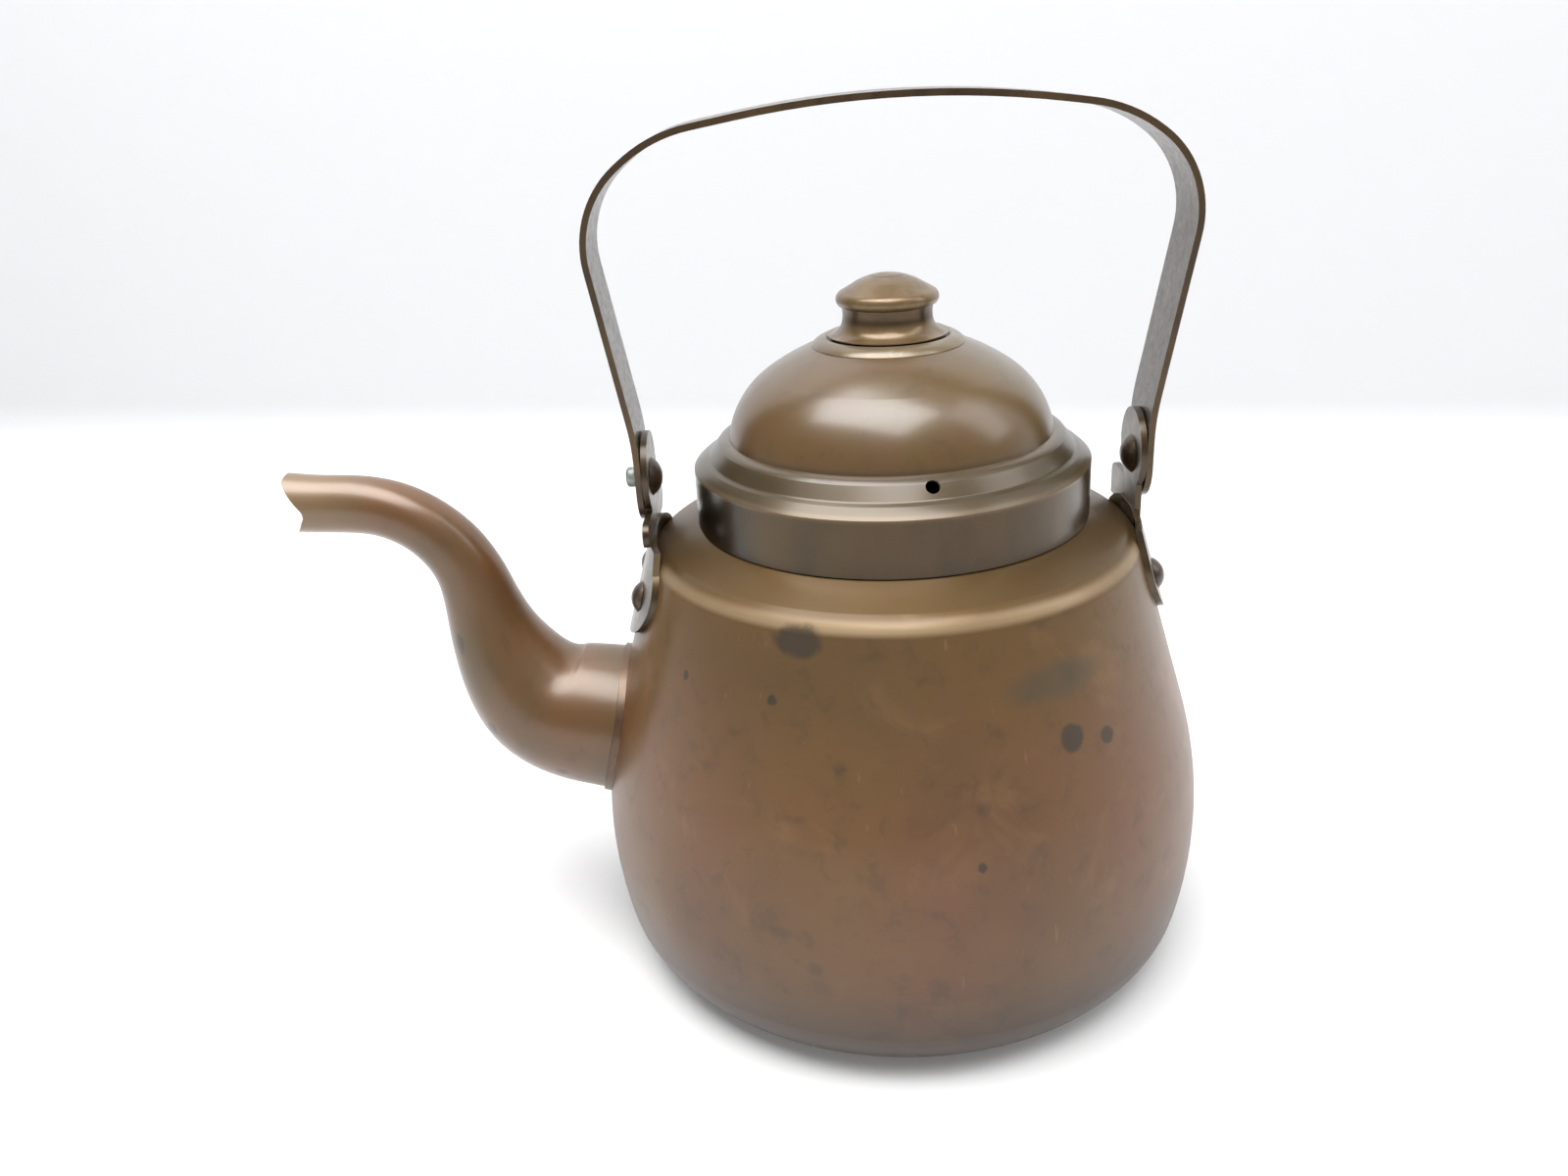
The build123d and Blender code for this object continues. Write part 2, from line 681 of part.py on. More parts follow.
def main():
    os.makedirs("parts", exist_ok=True)
    save("body_shell", body_shell())
    save("base_plate", base_plate())
    save("spout", spout())
    save("spout_collar", spout_collar())
    save("front_ear", ear(-1, (-1, 1), FRONT_PAD_HALF_W))
    save("rear_ear", ear(1, (1,), REAR_PAD_HALF_W))
    save("front_ear_rivets", ear_rivets(-1))
    save("rear_ear_rivets", ear_rivets(1))
    save("front_pivot_rivet", pivot_rivet(-1, PIVOT_R, FRONT_TAIL_H))
    save("rear_pivot_rivet", pivot_rivet(1, REAR_TAIL_R, REAR_TAIL_H))
    save("bail_strip", bail())
    save("lid_shell", lid_shell())
    save("lid_knob", lid_knob())
    save("knob_foot", knob_foot())
    save("knob_screw", knob_screw())
    save("knob_washer", knob_washer())


main()
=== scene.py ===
import math

import bmesh
import bpy
from mathutils import Matrix, Vector


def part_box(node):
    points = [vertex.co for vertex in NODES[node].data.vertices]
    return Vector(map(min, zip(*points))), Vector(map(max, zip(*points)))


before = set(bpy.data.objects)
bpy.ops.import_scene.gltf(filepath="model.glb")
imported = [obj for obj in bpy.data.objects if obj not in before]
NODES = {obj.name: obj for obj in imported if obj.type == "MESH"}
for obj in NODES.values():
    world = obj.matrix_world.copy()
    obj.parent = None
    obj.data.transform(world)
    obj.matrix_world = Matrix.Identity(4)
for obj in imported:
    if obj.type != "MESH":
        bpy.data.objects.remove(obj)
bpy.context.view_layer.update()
bpy.context.view_layer.update()     # so that rays can be cast at the pieces

# Everything is in metres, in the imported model's own frame: +Z up, base on z = 0,
# spout along -X, bail pivots on a line along X, viewer on the -Y side.

# Places where a finish changes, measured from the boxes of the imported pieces.
LOW, HIGH = 0, 1
X, Y, Z = 0, 1, 2
NECK_TOP_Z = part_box("body_shell")[HIGH][Z]
SHOULDER_EDGE_Z = NECK_TOP_Z - 0.0189
LID_FOOT_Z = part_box("lid_shell")[LOW][Z]
LID_RIM_Z = LID_FOOT_Z + 0.0134
FLANGE_Z = LID_FOOT_Z + 0.0169
DOME_FOOT_Z = LID_FOOT_Z + 0.0203
KNOB_TOP_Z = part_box("lid_knob")[HIGH][Z]
KNOB_NECK_Z = KNOB_TOP_Z - 0.0087
SPOUT_TIP_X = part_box("spout")[LOW][X]
FRONT_TAIL_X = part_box("front_pivot_rivet")[LOW][X]


# ------------------------------------------------------------------ node graphs


class Graph:
    """One material and short ways to add nodes to it."""

    def __init__(self, name):
        self.material = bpy.data.materials.new(name)
        self.material.use_nodes = True
        self.tree = self.material.node_tree
        self.tree.nodes.clear()
        self.out = self.add("ShaderNodeOutputMaterial")
        self.shader = self.add("ShaderNodeBsdfPrincipled")
        self.link(self.shader.outputs[0], self.out.inputs["Surface"])
        self.coords = self.add("ShaderNodeTexCoord")
        self.place = self.coords.outputs["Object"]
        self.normal = self.coords.outputs["Normal"]
        self._parts = {}

    def add(self, kind):
        return self.tree.nodes.new(kind)

    def link(self, source, target):
        self.tree.links.new(source, target)

    def put(self, value, socket):
        """A constant goes on the socket, and anything else is linked to it."""
        if isinstance(value, (int, float)):
            socket.default_value = value
        elif isinstance(value, tuple):
            wanted = len(socket.default_value)
            socket.default_value = (tuple(value) + (1.0,))[:wanted]
        else:
            self.link(value, socket)

    def math(self, operation, a, b=None, c=None, clamp=False):
        node = self.add("ShaderNodeMath")
        node.operation = operation
        node.use_clamp = clamp
        for value, socket in zip((a, b, c), node.inputs):
            if value is not None:
                self.put(value, socket)
        return node.outputs[0]

    def vector(self, operation, a, b=None):
        node = self.add("ShaderNodeVectorMath")
        node.operation = operation
        self.put(a, node.inputs[0])
        if b is not None:
            self.put(b, node.inputs[1])
        if operation in ("DOT_PRODUCT", "LENGTH", "DISTANCE"):
            return node.outputs["Value"]
        return node.outputs["Vector"]

    def split(self, source, axis):
        key = (source.as_pointer(), "xyz")
        if key not in self._parts:
            node = self.add("ShaderNodeSeparateXYZ")
            self.link(source, node.inputs[0])
            self._parts[key] = node
        return self._parts[key].outputs[axis]

    def scaled(self, x, y, z, source=None):
        node = self.add("ShaderNodeMapping")
        node.inputs["Scale"].default_value = (x, y, z)
        self.link(source or self.place, node.inputs["Vector"])
        return node.outputs[0]

    def noise(self, scale, detail=3.0, rough=0.55, warp=0.0, source=None):
        node = self.add("ShaderNodeTexNoise")
        node.inputs["Scale"].default_value = scale
        node.inputs["Detail"].default_value = detail
        node.inputs["Roughness"].default_value = rough
        node.inputs["Distortion"].default_value = warp
        self.link(source or self.place, node.inputs["Vector"])
        return node.outputs["Fac"]

    def step(self, value, low, high, bottom=0.0, top=1.0):
        """Smooth rise from bottom to top as value goes from low to high."""
        node = self.add("ShaderNodeMapRange")
        node.interpolation_type = "SMOOTHSTEP"
        for number, socket in zip((low, high, bottom, top), node.inputs[1:5]):
            socket.default_value = number
        self.link(value, node.inputs[0])
        return node.outputs[0]

    def mix(self, factor, first, second, blend="MIX"):
        node = self.add("ShaderNodeMix")
        node.data_type = "RGBA"
        node.blend_type = blend
        self.put(factor, node.inputs[0])
        self.put(first, node.inputs[6])
        self.put(second, node.inputs[7])
        return node.outputs[2]

    def tint(self, colour, mask, share, other):
        """Colour with a share of the other one mixed in where mask is 1."""
        return self.mix(self.math("MULTIPLY", mask, share), colour, other)

    def radius(self):
        """Distance from the kettle's axis."""
        if "radius" not in self._parts:
            flat = self.scaled(1.0, 1.0, 0.0)
            self._parts["radius"] = self.vector("LENGTH", flat)
        return self._parts["radius"]

    def height(self):
        return self.split(self.place, Z)

    def band(self, value, middle, half, soft):
        """1 within half of middle, falling to 0 over soft."""
        off = self.math("ABSOLUTE", self.math("SUBTRACT", value, middle))
        return self.step(off, half, half + soft, 1.0, 0.0)

    def blot(self, centre, size, edge, ripple):
        """A soft-edged spot about centre, with an uneven outline. size is its
        half-width along x, y and z."""
        shifted = self.vector("SUBTRACT", self.place, centre)
        shifted = self.vector("DIVIDE", shifted, size)
        far = self.vector("LENGTH", shifted)
        wobble = self.noise(1.6 / max(size), 3.0, 0.6)
        wobble = self.math("MULTIPLY", self.math("SUBTRACT", wobble, 0.5), ripple * 2)
        far = self.math("ADD", far, wobble)
        return self.step(far, 1.0 - edge, 1.0 + edge * 0.4, 1.0, 0.0)

    def most(self, values):
        total = values[0]
        for value in values[1:]:
            total = self.math("MAXIMUM", total, value)
        return total

    def bump(self, height, strength, distance, below=None):
        node = self.add("ShaderNodeBump")
        node.inputs["Strength"].default_value = strength
        node.inputs["Distance"].default_value = distance
        self.link(height, node.inputs["Height"])
        if below is not None:
            self.link(below, node.inputs["Normal"])
        return node.outputs[0]

    def inside(self):
        """1 on faces that look toward the kettle's axis."""
        outward = self.vector("NORMALIZE", self.scaled(1.0, 1.0, 0.0))
        facing = self.vector("DOT_PRODUCT", outward, self.normal)
        return self.step(facing, -0.06, -0.02, 1.0, 0.0)

    def lid_inside(self):
        """1 on the lid's faces that look down or toward its axis."""
        down = self.step(self.split(self.normal, Z), -0.1, -0.02, 1.0, 0.0)
        return self.math("MAXIMUM", self.inside(), down)


def rgb(red, green, blue):
    """Linear colour from screen values of 0 to 255."""
    def linear(value):
        value /= 255.0
        return value / 12.92 if value <= 0.04045 else ((value + 0.055) / 1.055) ** 2.4
    return (linear(red), linear(green), linear(blue), 1.0)


DEPTH = 0.36        # how dark old metal is under its shine, against the colours named here
METAL_BROWN = rgb(118, 92, 64)
METAL_DARK = rgb(84, 66, 46)
TIN = rgb(150, 148, 142)
TIN_DARK = rgb(96, 92, 84)


def finish_copper(graph, colour, rough, metallic=0.2, coat=0.65, coat_rough=0.24):
    """Patinated metal: a darkened base under a thin soft shine."""
    shader = graph.shader
    base = graph.mix(1.0, colour, (DEPTH, DEPTH, DEPTH, 1.0), "MULTIPLY")
    graph.link(base, shader.inputs["Base Color"])
    graph.link(rough, shader.inputs["Roughness"])
    graph.put(metallic, shader.inputs["Metallic"])
    shader.inputs["Coat Weight"].default_value = coat
    shader.inputs["Coat Roughness"].default_value = coat_rough
    shader.inputs["Coat IOR"].default_value = 1.5


def tinned(graph, colour, rough, mask):
    """Mixes the tin lining in where mask is 1."""
    cloud = graph.noise(55.0, 4.0, 0.6)
    tin = graph.mix(graph.step(cloud, 0.35, 0.7), TIN, TIN_DARK)
    rougher = graph.math("ADD", rough, graph.math("MULTIPLY", mask, 0.08))
    return graph.mix(mask, colour, tin), rougher


def skin_bump(graph, swell=1.0, fine=1.0):
    """Shallow unevenness of old spun sheet and the fine pitting of its patina."""
    broad = graph.noise(38.0, 2.0, 0.5)
    grain = graph.noise(900.0, 4.0, 0.65)
    low = graph.bump(broad, 0.25 * swell, 0.0006)
    return graph.bump(grain, 0.12 * fine, 0.00012, low)


# ------------------------------------------------------------------ copper finishes


# Old spots on the body's near side: degrees round the axis from +X, height, half width,
# half height, softness of the edge, and how uneven the outline is.
DARK_STAINS = [
    (-113.5, 0.1065, 0.0058, 0.0038, 0.35, 0.35),
    (-60.0, 0.0820, 0.0034, 0.0034, 0.25, 0.2),
    (-51.5, 0.0795, 0.0022, 0.0022, 0.3, 0.2),
    (-118.0, 0.0935, 0.0013, 0.0013, 0.35, 0.35),
    (-140.5, 0.0925, 0.0011, 0.0013, 0.35, 0.35),
    (-80.0, 0.0595, 0.0011, 0.0013, 0.35, 0.35),
]
FAINT_STAINS = [
    (-79.0, 0.0715, 0.0018, 0.0016, 0.6, 0.35),
    (-108.0, 0.0345, 0.0022, 0.0022, 0.6, 0.35),
    (-114.0, 0.0425, 0.0030, 0.0018, 0.6, 0.35),
    (-104.0, 0.0810, 0.0018, 0.0018, 0.6, 0.35),
]
SMEAR = (-60.5, 0.0950, 0.0140, 0.0046, 0.5, 0.4)
# Marks on the spout: place, half widths, softness and unevenness.
SPOUT_MARKS = [
    ((-0.1110, -0.0095, 0.0880), (0.0016, 0.0025, 0.0032), 0.35, 0.35),
    ((-0.1050, -0.0120, 0.0650), (0.0015, 0.0025, 0.0022), 0.35, 0.35),
    ((-0.0880, -0.0160, 0.0530), (0.0022, 0.0030, 0.0014), 0.35, 0.35),
]
UPPER_LOW_Z = 0.060         # the body turns olive between these two heights
UPPER_HIGH_Z = 0.108
FOOT_SHADE_Z = 0.040         # and has painted shade below this one


OUTSIDE_R = 0.2             # well outside the kettle


def on_body(degrees, height):
    """The place on the body's outer wall at an angle round its axis and a height."""
    turn = math.radians(degrees)
    outward = Vector((math.cos(turn), math.sin(turn), 0.0))
    start = outward * OUTSIDE_R + Vector((0.0, 0.0, height))
    found, place = NODES["body_shell"].ray_cast(start, -outward)[:2]
    assert found, f"no wall at {degrees} degrees and height {height}"
    return tuple(place)


def body_stain(g, degrees, height, half_width, half_height, edge, ripple):
    size = (half_width, half_width, half_height)
    return g.blot(on_body(degrees, height), size, edge, ripple)


def body_copper():
    g = Graph("body_copper")
    brown = rgb(160, 112, 58)
    red = rgb(160, 104, 60)
    olive = rgb(146, 110, 48)
    dark = rgb(104, 76, 42)
    streak = g.noise(26.0, 4.0, 0.6, 0.3, g.scaled(1.0, 1.0, 0.28))
    cloud = g.noise(19.0, 3.0, 0.5)
    fine = g.noise(150.0, 4.0, 0.65, 0.4)
    patch = g.noise(48.0, 4.0, 0.65, 0.6)
    scuff = g.noise(420.0, 2.0, 0.5, 0.0, g.scaled(1.0, 1.0, 0.16))
    colour = g.mix(g.step(streak, 0.38, 0.66), brown, red)
    colour = g.tint(colour, g.step(g.height(), UPPER_LOW_Z, UPPER_HIGH_Z), 0.75, olive)
    colour = g.tint(colour, g.step(cloud, 0.45, 0.75), 0.35, dark)
    colour = g.tint(colour, g.step(fine, 0.50, 0.72), 0.45, dark)
    colour = g.tint(colour, g.step(patch, 0.54, 0.72), 0.35, rgb(196, 146, 92))
    colour = g.tint(colour, g.step(scuff, 0.70, 0.78), 0.3, rgb(206, 162, 112))
    shoulder = g.step(g.height(), SHOULDER_EDGE_Z - 0.0012, SHOULDER_EDGE_Z + 0.0033)
    colour = g.tint(colour, shoulder, 0.85, rgb(138, 105, 54))
    # Painted highlight along the shoulder's ridge, partly rubbed bare metal: a thin near-white band,
    # broken up by the cloud noise.
    edge = g.band(g.height(), SHOULDER_EDGE_Z, 0.0003, 0.0016)
    edge = g.math("MULTIPLY", edge, g.step(cloud, 0.3, 0.7, 0.35, 0.85))
    colour = g.mix(edge, colour, rgb(240, 206, 158))
    # Painted shade: the body darkens toward the floor, standing in for the shadowed floor it reflects near
    # its foot.
    foot = g.step(g.height(), 0.0, FOOT_SHADE_Z, 1.0, 0.0)
    colour = g.tint(colour, foot, 0.92, rgb(56, 38, 28))
    stains = g.most([body_stain(g, *stain) for stain in DARK_STAINS])
    colour = g.tint(colour, stains, 0.8, rgb(74, 62, 46))
    faint = g.most([body_stain(g, *stain) for stain in FAINT_STAINS])
    colour = g.tint(colour, faint, 0.4, rgb(84, 70, 52))
    colour = g.tint(colour, body_stain(g, *SMEAR), 0.55, rgb(104, 96, 72))
    rough = g.step(cloud, 0.3, 0.7, 0.46, 0.56)
    rough = g.math("ADD", rough, g.math("MULTIPLY", stains, 0.12))
    colour, rough = tinned(g, colour, rough, g.inside())
    bare = g.step(g.height(), SHOULDER_EDGE_Z - 0.0027, SHOULDER_EDGE_Z + 0.0028, 0.2, 0.75)
    finish_copper(g, colour, rough, bare, 0.4)
    g.link(skin_bump(g), g.shader.inputs["Normal"])
    return g.material


def base_copper():
    g = Graph("base_copper")
    soot = g.noise(60.0, 5.0, 0.6)
    rings = g.math("SINE", g.math("MULTIPLY", g.radius(), 2600.0))
    colour = g.mix(g.step(soot, 0.35, 0.7), rgb(120, 84, 60), rgb(58, 48, 42))
    up = g.step(g.split(g.normal, Z), 0.4, 0.6)
    rough = g.step(soot, 0.3, 0.7, 0.42, 0.6)
    colour, rough = tinned(g, colour, rough, up)
    finish_copper(g, colour, rough, coat=0.1)
    turned = g.bump(rings, 0.2, 0.00006)
    g.link(g.bump(g.noise(300.0, 3.0), 0.15, 0.0002, turned), g.shader.inputs["Normal"])
    return g.material


def lid_copper():
    g = Graph("lid_copper")
    olive = rgb(142, 113, 58)
    brown = rgb(142, 100, 54)
    dark = rgb(90, 70, 42)
    cloud = g.noise(28.0, 3.0, 0.55)
    fine = g.noise(170.0, 4.0, 0.65, 0.5)
    drips = g.noise(60.0, 3.0, 0.6, 0.2, g.scaled(1.0, 1.0, 0.3))
    chips = g.noise(90.0, 3.0, 0.6)
    colour = g.mix(g.step(cloud, 0.35, 0.65), olive, brown)
    colour = g.tint(colour, g.step(fine, 0.5, 0.75), 0.35, dark)
    skirt = g.step(g.height(), LID_RIM_Z - 0.0014, LID_RIM_Z + 0.0001, 1.0, 0.0)
    colour = g.tint(colour, skirt, g.step(drips, 0.35, 0.65, 0.55, 0.9), rgb(98, 78, 40))
    flange = g.band(g.height(), FLANGE_Z, 0.0026, 0.0008)
    colour = g.tint(colour, flange, 0.75, rgb(94, 78, 40))
    # Painted dark reflection: the skirt's left side is painted near black, standing in for the dark room
    # it reflects.
    painted_dark_reflection = g.step(g.split(g.place, X), -0.040, -0.030, 1.0, 0.0)
    colour = g.tint(colour, g.math("MULTIPLY", painted_dark_reflection, skirt), 0.75, rgb(40, 26, 10))
    rim = g.band(g.height(), LID_RIM_Z, 0.0003, 0.0006)
    colour = g.tint(colour, rim, g.step(chips, 0.3, 0.6, 0.2, 0.6), rgb(142, 124, 88))
    crease = g.band(g.height(), DOME_FOOT_Z, 0.0004, 0.0010)
    colour = g.tint(colour, crease, 0.5, rgb(96, 80, 50))
    rough = g.step(cloud, 0.3, 0.7, 0.34, 0.44)
    colour, rough = tinned(g, colour, rough, g.lid_inside())
    bare_skirt = g.step(g.height(), LID_RIM_Z - 0.0009, LID_RIM_Z + 0.0005, 0.45, 0.0)
    bare_flange = g.step(g.height(), DOME_FOOT_Z - 0.0028, DOME_FOOT_Z + 0.0008, 0.5, 0.0)
    finish_copper(g, colour, rough, g.math("ADD", bare_skirt, bare_flange), 0.75, 0.22)
    g.link(skin_bump(g, 0.8), g.shader.inputs["Normal"])
    return g.material


def spout_copper():
    g = Graph("spout_copper")
    brown = rgb(166, 114, 68)
    dark = rgb(104, 76, 48)
    cloud = g.noise(30.0, 3.0, 0.5)
    fine = g.noise(160.0, 4.0, 0.6, 0.4)
    colour = g.mix(g.step(cloud, 0.38, 0.7), brown, rgb(140, 110, 64))
    colour = g.tint(colour, g.step(fine, 0.52, 0.75), 0.35, dark)
    lip = g.step(g.split(g.place, X), SPOUT_TIP_X + 0.0037, SPOUT_TIP_X + 0.0277, 0.6, 0.0)
    colour = g.mix(lip, colour, rgb(214, 176, 132))
    marks = g.most([g.blot(*mark) for mark in SPOUT_MARKS])
    colour = g.tint(colour, marks, 0.7, rgb(66, 58, 46))
    rough = g.step(cloud, 0.3, 0.7, 0.34, 0.44)
    finish_copper(g, colour, rough)
    g.link(skin_bump(g, 0.8), g.shader.inputs["Normal"])
    return g.material


def plain_brown(name, shades, rough_range, scale=220.0, metallic=0.6):
    """Old handled metal: two mottled shades, worn to the third where the grain is high."""
    first, second, worn = shades
    g = Graph(name)
    cloud = g.noise(scale * 0.3, 3.0, 0.55)
    grain = g.noise(scale, 4.0, 0.65, 0.3)
    colour = g.mix(g.step(cloud, 0.35, 0.65), first, second)
    colour = g.tint(colour, g.step(grain, 0.56, 0.8), 0.6, worn)
    rough = g.step(grain, 0.3, 0.7, *rough_range)
    finish_copper(g, colour, rough, metallic)
    g.link(skin_bump(g, 0.5, 1.5), g.shader.inputs["Normal"])
    return g.material


def bail_copper():
    """Grey-brown faces, and warmer edges where the strip was cut."""
    g = Graph("bail_copper")
    edge = g.step(g.math("ABSOLUTE", g.split(g.normal, Y)), 0.45, 0.75)
    cloud = g.noise(40.0, 4.0, 0.6, 0.4)
    grain = g.noise(500.0, 4.0, 0.65)
    face = g.mix(g.step(cloud, 0.35, 0.65), rgb(142, 130, 114), rgb(116, 98, 76))
    face = g.tint(face, g.step(grain, 0.5, 0.75), 0.4, rgb(78, 62, 46))
    rim = g.mix(g.step(cloud, 0.3, 0.7), rgb(140, 108, 66), rgb(96, 72, 46))
    colour = g.mix(edge, face, rim)
    rough = g.step(grain, 0.3, 0.7, 0.26, 0.4)
    finish_copper(g, colour, rough, 0.6, 0.45)
    g.link(skin_bump(g, 0.7), g.shader.inputs["Normal"])
    return g.material


TOP_RING_R = 0.0040         # faint turned ring on the knob's cap


def knob_copper():
    """Rubbed bright on the cap, painted shade in the neck under the cap, and a faint turned ring on top.
    """
    g = Graph("knob_copper")
    cloud = g.noise(60.0, 3.0, 0.55)
    grain = g.noise(260.0, 4.0, 0.65, 0.3)
    colour = g.mix(g.step(cloud, 0.35, 0.65), rgb(192, 158, 108), rgb(168, 132, 86))
    colour = g.tint(colour, g.step(grain, 0.5, 0.75), 0.4, rgb(118, 88, 56))
    # Painted shade: a dark band in the neck, under the cap's overhang. The same band also makes the neck
    # more metallic.
    neck_shade = g.band(g.height(), KNOB_NECK_Z, 0.0010, 0.0016)
    colour = g.tint(colour, neck_shade, 0.7, rgb(96, 70, 48))
    ring = g.band(g.radius(), TOP_RING_R, 0.0002, 0.0006)
    top = g.step(g.height(), KNOB_TOP_Z - 0.0017, KNOB_TOP_Z - 0.0011)
    groove = g.math("MULTIPLY", ring, top)
    colour = g.tint(colour, groove, 0.5, rgb(120, 96, 64))
    rough = g.step(grain, 0.3, 0.7, 0.3, 0.42)
    bare = g.math("ADD", 0.4, g.math("MULTIPLY", neck_shade, 0.5))
    finish_copper(g, colour, rough, bare, 0.5)
    sunk = g.bump(g.math("SUBTRACT", 1.0, groove), 0.6, 0.0003)
    g.link(g.bump(g.noise(900.0, 4.0, 0.65), 0.15, 0.00012, sunk), g.shader.inputs["Normal"])
    return g.material


def verdigris_rivet():
    """Brown inner head, and an outer tail with a pale green bloom on bare metal."""
    g = Graph("verdigris_rivet")
    grain = g.noise(500.0, 4.0, 0.65)
    cloud = g.noise(240.0, 4.0, 0.6, 0.4)
    brown = g.mix(g.step(cloud, 0.35, 0.65), METAL_BROWN, METAL_DARK)
    bloom = g.mix(g.step(cloud, 0.35, 0.6), rgb(226, 236, 226), rgb(150, 176, 160))
    bloom = g.tint(bloom, g.step(grain, 0.5, 0.7), 0.6, rgb(60, 70, 64))
    outer = g.step(g.split(g.place, X), FRONT_TAIL_X + 0.00285, FRONT_TAIL_X + 0.00345, 1.0, 0.0)
    rough = g.step(grain, 0.3, 0.7, 0.4, 0.6)
    finish_copper(g, g.mix(outer, brown, bloom), rough, 0.3)
    g.link(skin_bump(g, 0.5, 2.0), g.shader.inputs["Normal"])
    return g.material


def dull_steel():
    g = Graph("dull_steel")
    cloud = g.noise(300.0, 4.0, 0.6)
    colour = g.mix(g.step(cloud, 0.35, 0.7), rgb(140, 138, 132), rgb(96, 88, 78))
    rough = g.step(cloud, 0.3, 0.7, 0.3, 0.5)
    finish_copper(g, colour, rough, 0.95, 0.0)
    g.link(skin_bump(g, 0.3), g.shader.inputs["Normal"])
    return g.material


def wear(node, material):
    """Gives a CAD piece its finish."""
    mesh = NODES[node].data
    mesh.materials.clear()
    mesh.materials.append(material)


solder = plain_brown("solder_band", (rgb(158, 118, 80), rgb(136, 98, 70), rgb(196, 168, 132)), (0.35, 0.5))
ear_shades = (rgb(126, 100, 62), rgb(98, 76, 46), rgb(160, 136, 96))
ear_metal = plain_brown("ear_brass", ear_shades, (0.38, 0.52), metallic=0.85)
rivet_metal = plain_brown("rivet_copper", (METAL_BROWN, METAL_DARK, rgb(168, 146, 112)), (0.32, 0.48))
ring_shades = (rgb(186, 162, 124), rgb(164, 138, 102), rgb(236, 222, 196))
ring_metal = plain_brown("ring_copper", ring_shades, (0.28, 0.4), 160.0, 0.3)

wear("body_shell", body_copper())
wear("base_plate", base_copper())
wear("lid_shell", lid_copper())
wear("spout", spout_copper())
wear("spout_collar", solder)
for ear in ("front_ear", "rear_ear"):
    wear(ear, ear_metal)
for rivet in ("front_ear_rivets", "rear_ear_rivets", "rear_pivot_rivet"):
    wear(rivet, rivet_metal)
wear("front_pivot_rivet", verdigris_rivet())
wear("bail_strip", bail_copper())
wear("lid_knob", knob_copper())
wear("knob_foot", ring_metal)
wear("knob_screw", dull_steel())
wear("knob_washer", solder)


# ------------------------------------------------------------------ room


FLOOR_FRONT = -2.6
WALL_Y = 0.415
WALL_TURN = math.radians(-10.5)
WALL_CURVE = 0.035
CURVE_STEPS = 16
WALL_TOP = 2.4
WALL_TONE_Z = (0.002, 0.022)    # where the floor's tone goes over into the wall's
HALF_WIDTH = 3.0
FLOOR_WHITE = (0.68, 0.68, 0.68, 1.0)
WALL_WHITE = (0.57, 0.576, 0.592, 1.0)


def sweep():
    """Floor that curves up into a wall, as one sheet."""
    outline = [(FLOOR_FRONT, 0.0), (WALL_Y - WALL_CURVE, 0.0)]
    for step in range(1, CURVE_STEPS + 1):
        turn = math.pi / 2 * step / CURVE_STEPS
        y = WALL_Y - WALL_CURVE + WALL_CURVE * math.sin(turn)
        outline.append((y, WALL_CURVE - WALL_CURVE * math.cos(turn)))
    outline.append((WALL_Y, WALL_TOP))
    mesh = bmesh.new()
    rows = []
    for y, z in outline:
        rows.append([mesh.verts.new((x, y, z)) for x in (-HALF_WIDTH, HALF_WIDTH)])
    for low, high in zip(rows, rows[1:]):
        face = mesh.faces.new((low[0], low[1], high[1], high[0]))
        face.smooth = True
    bmesh.ops.rotate(mesh, verts=mesh.verts, matrix=Matrix.Rotation(WALL_TURN, 3, "Z"))
    data = bpy.data.meshes.new("floor")
    mesh.to_mesh(data)
    mesh.free()
    return data


def pale_cloth():
    """White floor and a faintly cooler wall, a little lit from within."""
    g = Graph("pale_floor")
    up_wall = g.step(g.height(), *WALL_TONE_Z)
    g.link(g.mix(up_wall, FLOOR_WHITE, WALL_WHITE), g.shader.inputs["Base Color"])
    g.put(0.9, g.shader.inputs["Roughness"])
    g.put(0.1, g.shader.inputs["Specular IOR Level"])
    g.put((1.0, 1.0, 1.0, 1.0), g.shader.inputs["Emission Color"])
    g.put(0.12, g.shader.inputs["Emission Strength"])
    return g.material


floor = bpy.data.objects.new("floor", sweep())
bpy.context.scene.collection.objects.link(floor)
floor.data.materials.append(pale_cloth())


# ------------------------------------------------------------------ light and camera


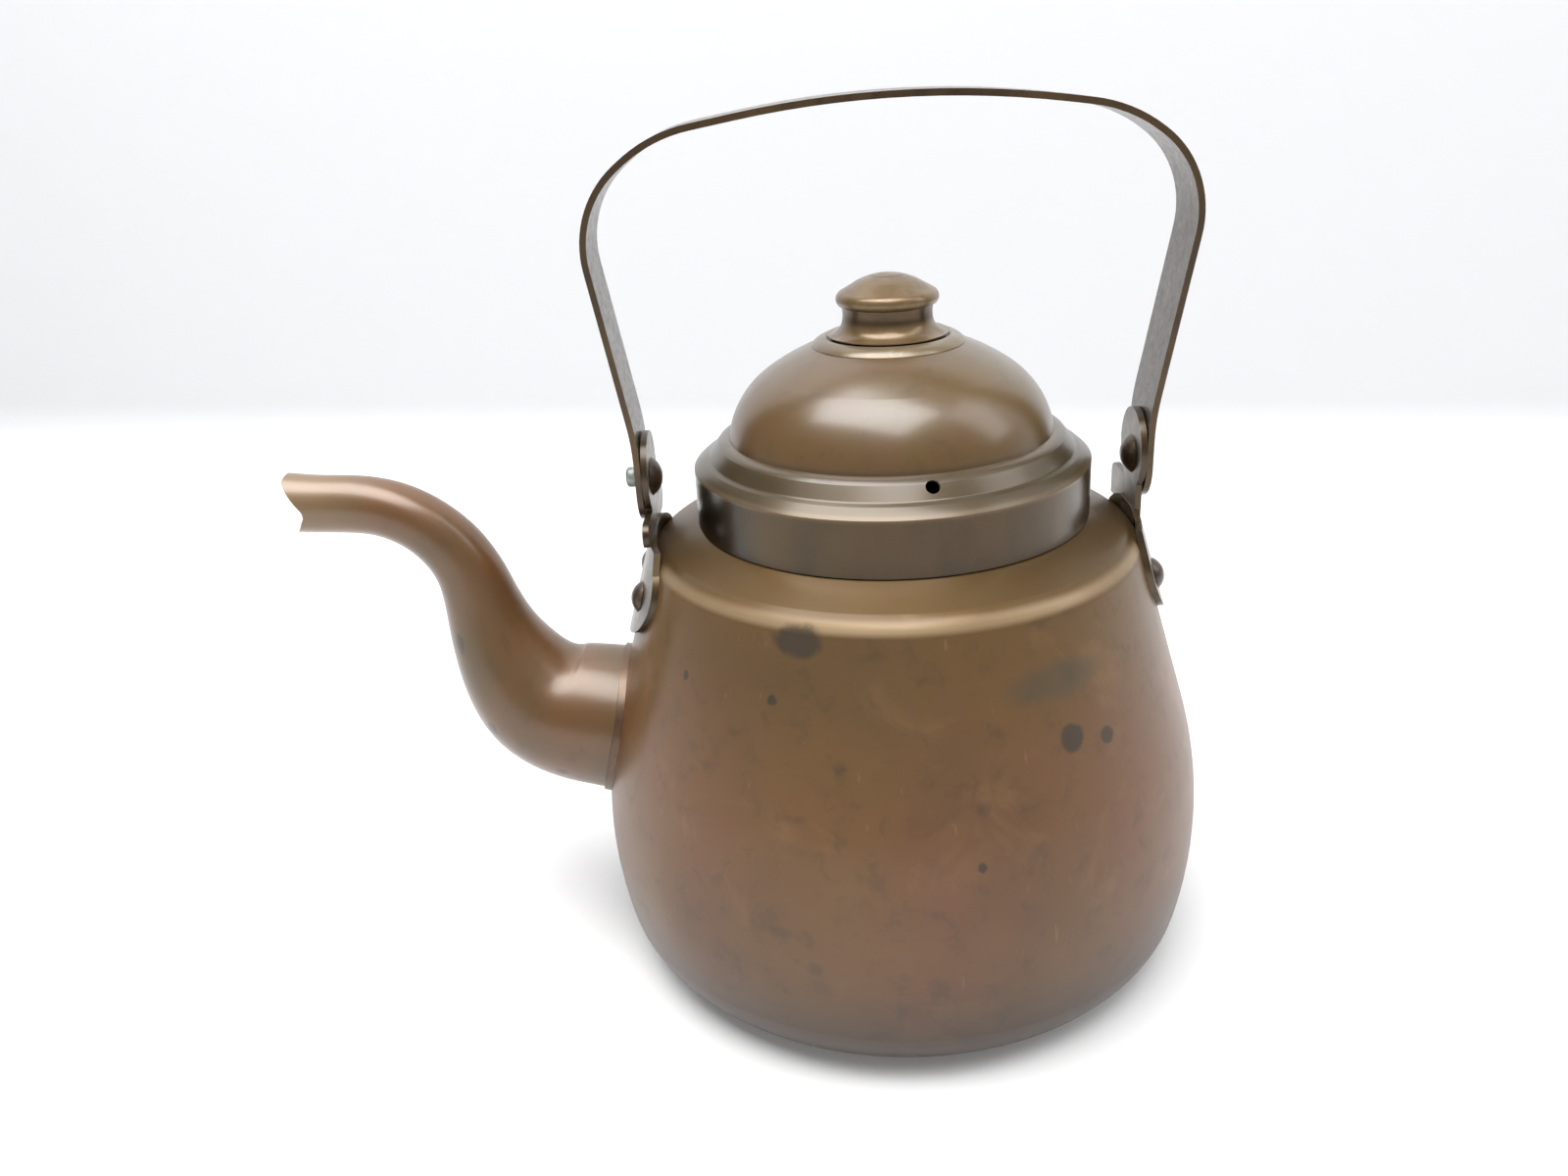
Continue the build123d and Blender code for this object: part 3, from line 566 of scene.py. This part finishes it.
def softbox(name, place, target, width, height, power):
    data = bpy.data.lights.new(name, "AREA")
    data.shape = "RECTANGLE"
    data.size = width
    data.size_y = height
    data.energy = power
    light = bpy.data.objects.new(name, data)
    light.location = place
    aim = Vector(target) - Vector(place)
    light.rotation_euler = aim.to_track_quat("-Z", "Y").to_euler()
    bpy.context.scene.collection.objects.link(light)


KETTLE_MIDDLE = (0.0, 0.0, 0.1)
softbox("overhead", (-0.20, -0.26, 1.30), KETTLE_MIDDLE, width=1.40, height=0.85, power=30.0)
softbox("right_fill", (1.5, 0.1, 1.3), KETTLE_MIDDLE, width=1.4, height=1.4, power=19.0)
softbox("wall_wash", (0.0, -0.4, 1.9), (0.0, 0.9, 0.5), width=2.4, height=0.8, power=5.0)

world = bpy.data.worlds.new("room")
world.use_nodes = True
background = world.node_tree.nodes["Background"]
background.inputs["Color"].default_value = (1.0, 0.985, 0.96, 1.0)
background.inputs["Strength"].default_value = 0.27
bpy.context.scene.world = world

CAMERA_PLACE = Vector((-0.0203, -0.3018, 0.2216))
CAMERA_HEADING = math.radians(-1.45)
CAMERA_PITCH = math.radians(22.65)
CAMERA_ROLL = math.radians(-3.21)
LENS_MM = 29.25
SENSOR_MM = 36.0

camera_data = bpy.data.cameras.new("camera")
camera_data.sensor_width = SENSOR_MM
camera_data.lens = LENS_MM
camera_data.clip_start = 0.01
camera = bpy.data.objects.new("camera", camera_data)
forward = Vector((
    math.sin(CAMERA_HEADING) * math.cos(CAMERA_PITCH),
    math.cos(CAMERA_HEADING) * math.cos(CAMERA_PITCH),
    -math.sin(CAMERA_PITCH),
))
level = forward.cross(Vector((0.0, 0.0, 1.0))).normalized()
right = Matrix.Rotation(-CAMERA_ROLL, 3, forward) @ level
upward = right.cross(forward)
turn = Matrix((right, upward, -forward)).transposed()
camera.matrix_world = Matrix.Translation(CAMERA_PLACE) @ turn.to_4x4()
bpy.context.scene.collection.objects.link(camera)
bpy.context.scene.camera = camera
bpy.context.scene.view_settings.view_transform = "Standard"
